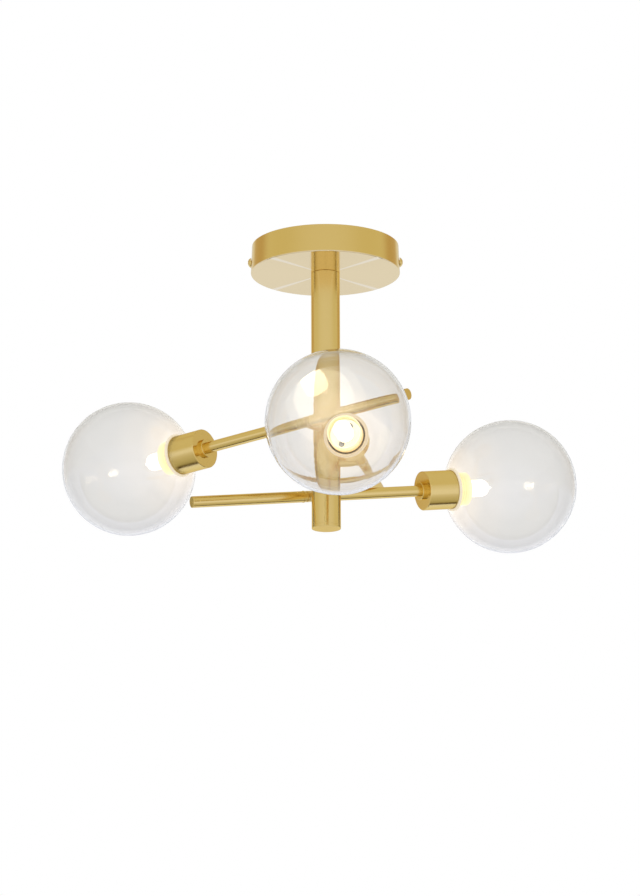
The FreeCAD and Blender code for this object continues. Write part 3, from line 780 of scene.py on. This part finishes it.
@dataclass(frozen=True)
class SleeveWithPaintedGlow:
    """Brass of the threaded sleeve round a lit bulb, with the bulb's light painted on it as a glow: washed
    out in front, gold further in.

    Args:
        name: the material's name.
        light: linear colour of the bare metal.
        dark: linear colour in the brushing's grooves.
        bands: (distance along the outline in metres, linear colour of the painted glow) from the sleeve's
            front edge over its outside to the back and into its bore.
        length: the outline's length that the bands share, in metres.
        roughness: its roughness.
        scale: streaks per metre.
    """

    name: str
    light: Colour
    dark: Colour
    bands: Bands
    length: float = 0.1
    roughness: float = 0.25
    scale: float = 3000.0

    @cache
    def material(self) -> bpy.types.Material:
        """Build the material.

        Returns:
            The material, the same one at each call.
        """
        made, tree, shader = new_material(self.name, {"Metallic": 1.0, "Roughness": self.roughness})
        chart, _, along = own_map(tree)
        shares = [(distance / self.length, glow) for distance, glow in self.bands]
        glow = banded(tree, ranged(tree, along, (0.0, self.length)), shares)
        streak, _ = grain(tree, stretched(tree, chart, BRUSH_STRETCH), self.scale)
        # Painted glow: the bulb's light painted as emission, in bands along the outline.
        tree.links.new(seen_glow(tree, 1.0), shader.inputs["Emission Strength"])
        tree.links.new(glow, shader.inputs["Emission Color"])
        tree.links.new(blended(tree, streak, self.dark, self.light), shader.inputs["Base Color"])
        return made


BRASS = {"light": (0.86, 0.66, 0.25), "dark": (0.81, 0.60, 0.20)}
TURNED_BRASS = BrushedMetal("satin brass, turned", **BRASS, roughness=0.14, spread=0.03, anisotropy=0.85)
STEM_BRASS = BrushedMetal("satin brass, ground tube", **BRASS, roughness=0.16, spread=0.04, anisotropy=0.95)
DISC_BRASS = BrushedMetal("satin brass, spun disc", **BRASS, roughness=0.13, spread=0.02, anisotropy=1.0,
                          relief=0.000012)
# Canopy brass, paler than the rest: a painted reflection of the pale surroundings on its underside, with
# painted shade on its wall and four painted glints on its face.
CANOPY_BRASS_PAINTED_LIGHT = BrushedMetal("satin brass, spun canopy, painted glints and shade", (0.88, 0.73, 0.42), (0.83, 0.68, 0.38),
                            roughness=0.13, spread=0.02, anisotropy=1.0, relief=0.000012,
                            edge_tint=(1.0, 0.95, 0.85),
                            face=SpunFacePaintedLight(radius=0.066, painted_wall_shade=(0.96, 0.86, 0.50), painted_glint=0.55))
MACHINED_BRASS = PlainMetal("machined brass", **BRASS)
ZINC_STEEL = PlainMetal("zinc plated steel", (0.62, 0.62, 0.62), (0.45, 0.45, 0.46))
# Painted glow of the bulb on the sleeve: bright at its front edge and in its bore, dark over the back of its
# outside.
SLEEVE_PAINTED_GLOW = SleeveWithPaintedGlow("machined brass, painted glow of the bulb", **BRASS, bands=(
    (0.0, (0.92, 0.76, 0.54)), (0.0014, (0.92, 0.76, 0.54)), (0.010, (0.74, 0.57, 0.33)),
    (0.016, (0.52, 0.35, 0.14)), (0.022, (0.05, 0.03, 0.01)), (0.060, (0.05, 0.03, 0.01)),
    (0.075, (0.70, 0.40, 0.13)), (0.095, (1.0, 0.70, 0.34))))
# The globes carry a painted halo of their lamp's light round the neck.
GLOBE_GLASS = ClearGlass("globe glass", (0.908, 0.903, 0.893), clearness=0.985, ripple=0.00004, painted_halo=0.6)
BULB_GLASS = ClearGlass("bulb glass", (1.0, 0.99, 0.97), glow=1.3)
# Painted glow: the bulb's light painted as emission in the ceramic of the lampholders and bulb bases, and in
# the gaskets' silicone.
CERAMIC_PAINTED_GLOW = Matt("white ceramic, painted glow", (0.86, 0.83, 0.76), (0.74, 0.71, 0.64), roughness=0.45, glow=1.2)
SILICONE_PAINTED_GLOW = Matt("translucent silicone", (0.85, 0.80, 0.70), (0.78, 0.74, 0.66), glow=0.42)
CORE = Matt("glowing core", (1.0, 0.95, 0.8), (1.0, 0.9, 0.7), glow=14.0, lights=True)
INSULATION = Matt("glass fibre sleeve", (0.80, 0.76, 0.66), (0.66, 0.62, 0.52))
MOULDED = Matt("moulded block", (0.80, 0.80, 0.78), (0.74, 0.74, 0.72), roughness=0.4)


Finish = BrushedMetal | PlainMetal | ClearGlass | Matt | SleeveWithPaintedGlow


def dress(piece: bpy.types.Object, finish: Finish, body: str, name: str) -> None:
    """Finish a piece: its material, body, and the CAD node that it stands for.

    Args:
        piece: the new object.
        finish: its finish.
        body: the body that it rides on.
        name: the CAD node that it replaces.
    """
    piece.data.materials.append(finish.material())
    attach(piece, body)
    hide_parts(name)
    LOG.info("%s: %d faces, on %s", piece.name, len(piece.data.polygons), body)


def repaint(finish: Finish, *names: str) -> None:
    """Give CAD nodes that keep their shape a better material on all their slots.

    Args:
        finish: their finish.
        names: the nodes.
    """
    for name in names:
        for entry in frame["nodes"][name].material_slots:
            entry.material = finish.material()


# ---------------------------------------------------------------- sub-assemblies


@dataclass(frozen=True)
class Canopy:
    """The spun cup against the ceiling and the stem that hangs from it, with the source's sizes."""

    radius: float = 66.0
    top_radius: float = 65.0
    height: float = 25.0
    wall: float = 1.0
    edge: float = 0.8
    nipple_hole: float = 5.05
    stem_radius: float = 12.7
    stem_wall: float = 1.2
    stem_end: float = 257.0
    cap_sheet: float = 2.5
    cap_spigot: float = 6.0
    fit_gap: float = 0.05
    sides: int = 192

    def build(self) -> None:
        """Make the canopy, the stem tube and its cap."""
        canopy = turned("canopy_skin", softened([
            (self.nipple_hole, -self.height, 0.1),
            (self.radius, -self.height, self.edge),
            (self.top_radius, 0.0, 0.1),
            (self.top_radius - self.wall, 0.0, 0.1),
            (self.radius - self.wall, -self.height + self.wall, 0.1),
            (self.nipple_hole, -self.height + self.wall, 0.1),
        ], True), STEM_PLACE, sides=self.sides)
        dress(canopy, CANOPY_BRASS_PAINTED_LIGHT, "fixture", "canopy")
        bore = self.stem_radius - self.stem_wall
        tube_end = -self.stem_end + self.cap_sheet
        stem = turned("stem_skin", softened([
            (bore, tube_end, 0.05),
            (self.stem_radius, tube_end, 0.15),
            (self.stem_radius, -self.height, 0.6),
            (bore, -self.height, 0.05),
        ], True), STEM_PLACE)
        dress(stem, STEM_BRASS, "fixture", "stem_tube")
        cap = turned("stem_end_skin", softened([
            (0.0, -self.stem_end, 0.0),
            (self.stem_radius, -self.stem_end, 0.4),
            (self.stem_radius, tube_end, 0.15),
            (bore - self.fit_gap, tube_end, 0.05),
            (bore - self.fit_gap, tube_end + self.cap_spigot, 0.2),
            (0.0, tube_end + self.cap_spigot, 0.0),
        ], False), STEM_PLACE, closed=False)
        dress(cap, DISC_BRASS, "fixture", "stem_cap")

    def repaint_rest(self) -> None:
        """New materials on the nodes that keep their CAD shape."""
        repaint(MACHINED_BRASS, "stem_nipple", "stem_locknut", "stem_plug", "earth_screw",
                "side_screw_left", "side_screw_right", *(f"{side.value}_stub" for side in Side))
        repaint(ZINC_STEEL, "ceiling_strap")
        repaint(MOULDED, "terminal_block")
        repaint(INSULATION, "stem_leads")


@dataclass(frozen=True)
class Arm:
    """One tilting arm with its lamp and globe, with the source's sizes.

    Stations run along the arm from its pivot, towards the lamp. The bulb's nose is a list of
    (radius, distance behind the tip), drawn out as blown glass is.
    """

    side: Side
    fit_gap: float = 0.05
    part_gap: float = 0.3
    radius: float = 5.0
    wall: float = 0.8
    lamp_reach: float = 108.7
    tail_reach: float = 113.4
    tail_cap: float = 1.5
    cap_spigot: float = 6.0
    knuckle_half: float = 8.0
    collar_radius: float = 8.2
    collar_length: float = 3.0
    cup_radius: float = 17.5
    cup_wall: float = 1.0
    cup_length: float = 28.5
    sleeve_radius: float = 14.7
    sleeve_bore: float = 13.5
    sleeve_projection: float = 14.5
    tube_in_sleeve: float = 8.0
    wire_hole_radius: float = 4.0
    holder_face: float = 4.0
    holder_length: float = 20.0
    thread_pitch: float = 2.4
    thread_depth: float = 0.7
    thread_turns: int = 5
    globe_radius: float = 60.0
    glass_wall: float = 2.0
    neck_outside: float = 16.2
    neck_bore: float = 15.0
    neck_length: float = 8.0
    gasket_sheet: float = 1.5
    gasket_rim: float = 1.8
    bulb_radius: float = 7.5
    bulb_wall: float = 0.9
    bulb_length: float = 40.0
    bulb_base: float = 6.0
    bulb_tip_length: float = 3.0
    bulb_dome_end: float = 155.0
    bulb_nose: tuple[tuple[float, float], ...] = (
        (1.9, 2.9), (1.25, 1.9), (0.9, 0.9), (0.5, 0.1), (0.0, 0.0))
    core_radius: float = 2.4
    core_length: float = 20.0
    place: Place = field(init=False)

    def __post_init__(self) -> None:
        """Read the arm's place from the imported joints."""
        object.__setattr__(self, "place", arm_place(self.side))

    @property
    def cup_front(self) -> float:
        """Station of the cup's rim."""
        return self.lamp_reach + self.cup_length

    @property
    def sleeve_back(self) -> float:
        """Station of the sleeve's back, on the cup's floor."""
        return self.lamp_reach + self.cup_wall + self.fit_gap

    @property
    def globe_centre(self) -> float:
        """Station of the globe's centre: the glass lies on the gasket at the cup's radius."""
        seat = self.cup_front + self.fit_gap + self.gasket_sheet + self.part_gap
        return seat + math.sqrt(self.globe_radius ** 2 - self.cup_radius ** 2)

    def make(self, part: str, outline: np.ndarray, finish: Finish, body: str = "arm",
             closed: bool = True, sides: int = 96) -> None:
        """Turn one of this arm's pieces and dress it.

        Args:
            part: the part's name without its side.
            outline: (n, 2) radius and station in millimetres.
            finish: the piece's finish.
            body: the body that it rides on, without its side.
            closed: whether the outline's ends join.
            sides: number of faces around.
        """
        name = f"{self.side.value}_{part}"
        piece = turned(f"{name}_skin", outline, self.place, closed, sides)
        dress(piece, finish, f"{self.side.value}_{body}", name)

    def build_tubes(self) -> None:
        """The lamp tube, the bare tube with its closed end, and the collar behind the cup."""
        bore = self.radius - self.wall
        lamp_end = self.sleeve_back + self.tube_in_sleeve
        self.make("lamp_tube", softened([
            (bore, self.knuckle_half, 0.05),
            (self.radius, self.knuckle_half, 0.1),
            (self.radius, lamp_end, 0.1),
            (bore, lamp_end, 0.05),
        ], True), TURNED_BRASS)
        tail_end = -self.tail_reach + self.tail_cap
        self.make("tail_tube", softened([
            (bore, tail_end, 0.05),
            (self.radius, tail_end, 0.1),
            (self.radius, -self.knuckle_half, 0.1),
            (bore, -self.knuckle_half, 0.05),
        ], True), TURNED_BRASS)
        self.make("tail_cap", softened([
            (0.0, -self.tail_reach, 0.0),
            (self.radius, -self.tail_reach, 0.3),
            (self.radius, tail_end, 0.1),
            (bore - self.fit_gap, tail_end, 0.05),
            (bore - self.fit_gap, tail_end + self.cap_spigot, 0.2),
            (0.0, tail_end + self.cap_spigot, 0.0),
        ], False), TURNED_BRASS, closed=False)
        self.make("collar", softened([
            (self.radius + self.fit_gap, self.lamp_reach - self.collar_length, 0.05),
            (self.collar_radius, self.lamp_reach - self.collar_length, 0.5),
            (self.collar_radius, self.lamp_reach, 0.1),
            (self.radius + self.fit_gap, self.lamp_reach, 0.05),
        ], True), TURNED_BRASS)

    def build_cup(self) -> None:
        """The lamp cup, and the sleeve inside it with rings that stand for its thread."""
        front = self.cup_front
        inner = self.cup_radius - self.cup_wall
        hole = self.radius + self.fit_gap
        self.make("cup", softened([
            (hole, self.lamp_reach, 0.05),
            (self.cup_radius, self.lamp_reach, 0.6),
            (self.cup_radius, front, 0.2),
            (inner, front, 0.2),
            (inner, self.lamp_reach + self.cup_wall, 0.1),
            (hole, self.lamp_reach + self.cup_wall, 0.05),
        ], True), TURNED_BRASS, sides=128)
        tip = front + self.sleeve_projection
        floor = front + self.holder_face - self.holder_length - self.fit_gap
        tube_room = self.sleeve_back + self.tube_in_sleeve + 2 * self.fit_gap
        crests = (self.sleeve_radius, self.sleeve_radius - self.thread_depth)
        thread = [(crests[step % 2], tip - self.thread_pitch * (0.5 + 0.5 * step), 0.25)
                  for step in range(2 * self.thread_turns + 1)]
        self.make("sleeve", softened([
            (self.sleeve_bore, tip, 0.1),
            (self.sleeve_radius, tip, 0.2),
            *thread,
            (self.sleeve_radius, self.sleeve_back, 0.1),
            (hole, self.sleeve_back, 0.05),
            (hole, tube_room, 0.05),
            (self.wire_hole_radius, tube_room, 0.05),
            (self.wire_hole_radius, floor, 0.05),
            (self.sleeve_bore, floor, 0.05),
        ], True), SLEEVE_PAINTED_GLOW, sides=128)

    def build_bulb(self) -> None:
        """The clear capsule with its drawn tip, and the glowing core in it."""
        back = self.cup_front + self.holder_face + self.part_gap + self.bulb_base + self.fit_gap
        tip = self.cup_front + self.bulb_length
        dome = tip - self.bulb_tip_length - self.bulb_radius
        inner = self.bulb_radius - self.bulb_wall
        outside = arc(dome, self.bulb_radius, 90.0, self.bulb_dome_end, 14)
        nose = np.array([0.0, tip]) + np.array(self.bulb_nose) * (1.0, -1.0)
        inside = arc(dome, inner, 180.0, 90.0, 18)
        self.make("bulb_capsule", np.concatenate([
            [[inner, back], [self.bulb_radius, back]], outside, nose, inside,
        ]), BULB_GLASS, "lamp", sides=64)
        core_tip = back + self.core_length
        self.make("bulb_core", softened([
            (0.0, back, 0.0),
            (self.core_radius, back, 0.3),
            (self.core_radius, core_tip - self.core_radius, 0.6),
            (self.core_radius / 2, core_tip, 0.6),
            (0.0, core_tip, 0.0),
        ], False), CORE, "lamp", closed=False, sides=32)

    def build_globe(self) -> None:
        """The blown globe with its neck, and the gasket between it and the cup."""
        centre = self.globe_centre
        inner = self.globe_radius - self.glass_wall
        outer_start = math.degrees(math.asin(self.neck_outside / self.globe_radius))
        inner_start = math.degrees(math.asin(self.neck_bore / inner))
        neck_back = self.cup_front - self.neck_length
        neck = softened([
            (self.neck_bore, centre - inner, 0.0),
            (self.neck_bore, neck_back, 0.4),
            (self.neck_outside, neck_back, 0.4),
            (self.neck_outside, centre - self.globe_radius, 0.0),
        ], False)
        self.make("globe", np.concatenate([
            arc(centre, self.globe_radius, outer_start, 180.0, 150),
            arc(centre, inner, 180.0, inner_start, 146),
            neck[1:],
        ]), GLOBE_GLASS, "shade", sides=256)
        bore = self.cup_radius - self.cup_wall
        rim = self.cup_radius + self.gasket_rim
        back = self.cup_front + self.fit_gap

        def touch(radius: float) -> float:
            """Station just behind the glass at a radius."""
            return centre - self.part_gap - math.sqrt(self.globe_radius ** 2 - radius ** 2)

        self.make("gasket", softened([
            (bore, back, 0.1), (rim, back, 0.4), (rim, touch(rim), 0.4), (bore, touch(bore), 0.1),
        ], True), SILICONE_PAINTED_GLOW, "seal")

    def repaint_rest(self) -> None:
        """New materials on the nodes that keep their CAD shape."""
        side = self.side.value
        repaint(MACHINED_BRASS, f"{side}_knuckle")
        repaint(CERAMIC_PAINTED_GLOW, f"{side}_lampholder", f"{side}_bulb_base")
        repaint(ZINC_STEEL, f"{side}_holder_screws")
        repaint(INSULATION, f"{side}_arm_lead")

    def build(self) -> None:
        """Make every piece of the arm."""
        self.build_tubes()
        self.build_cup()
        self.build_bulb()
        self.build_globe()
        self.repaint_rest()


# ---------------------------------------------------------------- studio


@dataclass(frozen=True)
class Studio:
    """Camera, pale floor and white surroundings; the bulbs and the world are the only lamps.

    Args:
        camera_place: the camera's place in millimetres.
        pitch: how far it looks up, in degrees.
        yaw: how far it turns to the left, in degrees.
        roll: how far it leans, in degrees.
        focal: its focal length in pixels of the photograph.
        image_height: the photograph's height in pixels.
        film_height: height of its sensor in millimetres.
        floor_drop: how far the floor lies below the ceiling, in metres.
        floor_reach: half the floor's side, in metres.
        floor_tone: its linear grey.
        sweep: (turn in degrees, linear colour) of the surroundings in metal and glass.
        flag_side: how far to the side the dark flags begin and are full, as shares of a unit direction.
        flag_rear: how far behind they begin and are full.
        flag_high: how high up they begin and are full.
        flag_shade: linear colour that the flags multiply by.
        through_edge: the shares of a direction towards front or back between which light through
            the glass rises to white.
        through_shade: its level at the sides, above and below.
        fill: level of the light on dull surfaces.
    """

    camera_place: tuple[float, float, float] = (0.0, -3020.7, -984.7)
    pitch: float = 14.84
    yaw: float = 0.1
    roll: float = -0.19
    focal: float = 3576.4
    image_height: float = 896.0
    film_height: float = 36.0
    floor_drop: float = 2.3
    floor_reach: float = 4.0
    floor_tone: float = 0.8
    sweep: Bands = (
        (-180.0, (0.82, 0.83, 0.96)), (-165.0, (0.86, 0.88, 1.10)), (-140.0, (0.86, 0.88, 1.10)),
        (-126.0, (0.72, 0.71, 0.76)), (-100.0, (0.60, 0.58, 0.52)), (-76.0, (0.48, 0.46, 0.36)),
        (-71.0, (0.22, 0.18, 0.09)), (-68.0, (0.05, 0.03, 0.01)), (-62.0, (0.08, 0.05, 0.02)),
        (-58.0, (0.90, 0.95, 1.30)), (-40.0, (0.86, 0.90, 1.10)), (-10.0, (0.83, 0.86, 0.98)),
        (15.0, (0.80, 0.82, 0.86)), (30.0, (0.72, 0.69, 0.60)), (145.0, (0.70, 0.66, 0.54)),
        (160.0, (0.77, 0.76, 0.80)), (172.0, (0.80, 0.80, 0.90)), (180.0, (0.82, 0.83, 0.96)))
    flag_side: tuple[float, float] = (0.45, 0.60)
    flag_rear: tuple[float, float] = (0.1, 0.5)
    flag_high: tuple[float, float] = (0.0, 0.15)
    flag_shade: Colour = (0.80, 0.66, 0.50)
    through_edge: tuple[float, float] = (0.60, 0.90)
    through_shade: float = 0.35
    fill: float = 0.7

    def build_camera(self) -> None:
        """Camera at the photograph's place and angle."""
        data = bpy.data.cameras.new("camera")
        data.sensor_fit = "VERTICAL"
        data.sensor_height = self.film_height
        data.lens = self.focal / self.image_height * self.film_height
        data.clip_end = 50.0
        camera = bpy.data.objects.new("camera", data)
        bpy.context.scene.collection.objects.link(camera)
        camera.location = np.array(self.camera_place) * MM
        camera.rotation_mode = "QUATERNION"
        turn = Euler((math.radians(90.0 + self.pitch), 0.0, math.radians(self.yaw)), "XYZ").to_quaternion()
        camera.rotation_quaternion = turn @ Quaternion((0.0, 0.0, 1.0), math.radians(self.roll))
        bpy.context.scene.camera = camera

    def build_floor(self) -> None:
        """Plain pale floor far below the light, which metal and glass don't mirror."""
        mesh = bpy.data.meshes.new("floor")
        corners = np.array([[-1, -1, 0], [1, -1, 0], [1, 1, 0], [-1, 1, 0]]) * self.floor_reach
        corners[:, 2] = -self.floor_drop
        mesh.from_pydata(corners.tolist(), [], [[0, 1, 2, 3]])
        floor = bpy.data.objects.new("floor", mesh)
        bpy.context.scene.collection.objects.link(floor)
        pale, _, _ = new_material("pale floor", {"Base Color": (self.floor_tone,) * 3, "Roughness": 0.9})
        mesh.materials.append(pale)
        floor.visible_glossy = False

    def direction(self, tree: Tree) -> tuple[Socket, Socket, Socket]:
        """The direction that the world is seen in.

        Args:
            tree: the world's node tree.

        Returns:
            Sockets of its x, y and z: to the right, to the back and up.
        """
        split = node(tree, "ShaderNodeSeparateXYZ")
        place = node(tree, "ShaderNodeTexCoord")
        tree.links.new(place.outputs["Generated"], split.inputs["Vector"])
        return split.outputs["X"], split.outputs["Y"], split.outputs["Z"]

    def surroundings(self, tree: Tree) -> Socket:
        """What metal and glass mirror of the studio, by direction.

        The turn about the x axis is atan2(z, y): 0 behind, 90 up, 180 in front, -90 down. It is
        bright behind and in front, warmer and a shade darker above and straight below, with one
        dark line just behind straight down, and it has darker flags behind, at both sides.

        Args:
            tree: the world's node tree.

        Returns:
            The colour socket.
        """
        x, y, z = self.direction(tree)
        share = ranged(tree, reckoned(tree, "ARCTAN2", z, y), (-math.pi, math.pi))
        sweep = banded(tree, share, [((degrees + 180.0) / 360.0, colour) for degrees, colour in self.sweep])
        side = ranged(tree, reckoned(tree, "ABSOLUTE", x), self.flag_side, ease=Ease.SOFT)
        rear = ranged(tree, y, self.flag_rear, ease=Ease.SOFT)
        high = ranged(tree, z, self.flag_high, ease=Ease.SOFT)
        flag = reckoned(tree, "MULTIPLY", reckoned(tree, "MULTIPLY", side, rear), high)
        return blended(tree, flag, sweep, self.flag_shade, "MULTIPLY")

    def build_world(self) -> None:
        """White for the camera and through glass, the surroundings in metal and glass, and the fill light."""
        world = bpy.data.worlds.new("studio")
        bpy.context.scene.world = world
        world.use_nodes = True
        tree = world.node_tree
        tree.nodes.clear()
        white_tone = (1.0, 1.0, 1.0, 1.0)
        white = node(tree, "ShaderNodeBackground", {"Color": white_tone})
        soft = node(tree, "ShaderNodeBackground", {"Color": white_tone, "Strength": self.fill})
        shiny = node(tree, "ShaderNodeBackground", {"Strength": 1.0})
        tree.links.new(self.surroundings(tree), shiny.inputs["Color"])
        ahead = reckoned(tree, "ABSOLUTE", self.direction(tree)[1])
        level = ranged(tree, ahead, self.through_edge, (self.through_shade, 1.0), Ease.SOFT)
        tree.links.new(level, white.inputs["Strength"])
        path = node(tree, "ShaderNodeLightPath")
        seen = reckoned(tree, "MAXIMUM", path.outputs["Is Camera Ray"], path.outputs["Is Transmission Ray"])
        mirrored = self.switch(tree, path.outputs["Is Glossy Ray"], soft.outputs[0], shiny.outputs[0])
        shown = self.switch(tree, seen, mirrored, white.outputs[0])
        out = node(tree, "ShaderNodeOutputWorld")
        tree.links.new(shown, out.inputs["Surface"])

    def switch(self, tree: Tree, share: Socket, first: Socket, second: Socket) -> Socket:
        """One background, or the other where the share is one.

        Args:
            tree: the world's node tree.
            share: 0 for the first, 1 for the second.
            first: a background.
            second: a background.

        Returns:
            The shader socket.
        """
        mix = node(tree, "ShaderNodeMixShader")
        for socket, value in zip(mix.inputs, (share, first, second)):
            tree.links.new(value, socket)
        return mix.outputs["Shader"]

    def build(self) -> None:
        """Camera, floor and surroundings."""
        self.build_camera()
        self.build_floor()
        self.build_world()
        bpy.context.scene.view_settings.view_transform = "Standard"


def main() -> None:
    """Build the studio and each sub-assembly in order."""
    logging.basicConfig(level=logging.INFO, format="%(name)s: %(message)s")
    Studio().build()
    canopy = Canopy()
    canopy.build()
    canopy.repaint_rest()
    for side in Side:
        Arm(side).build()


if __name__ == "__main__":
    main()
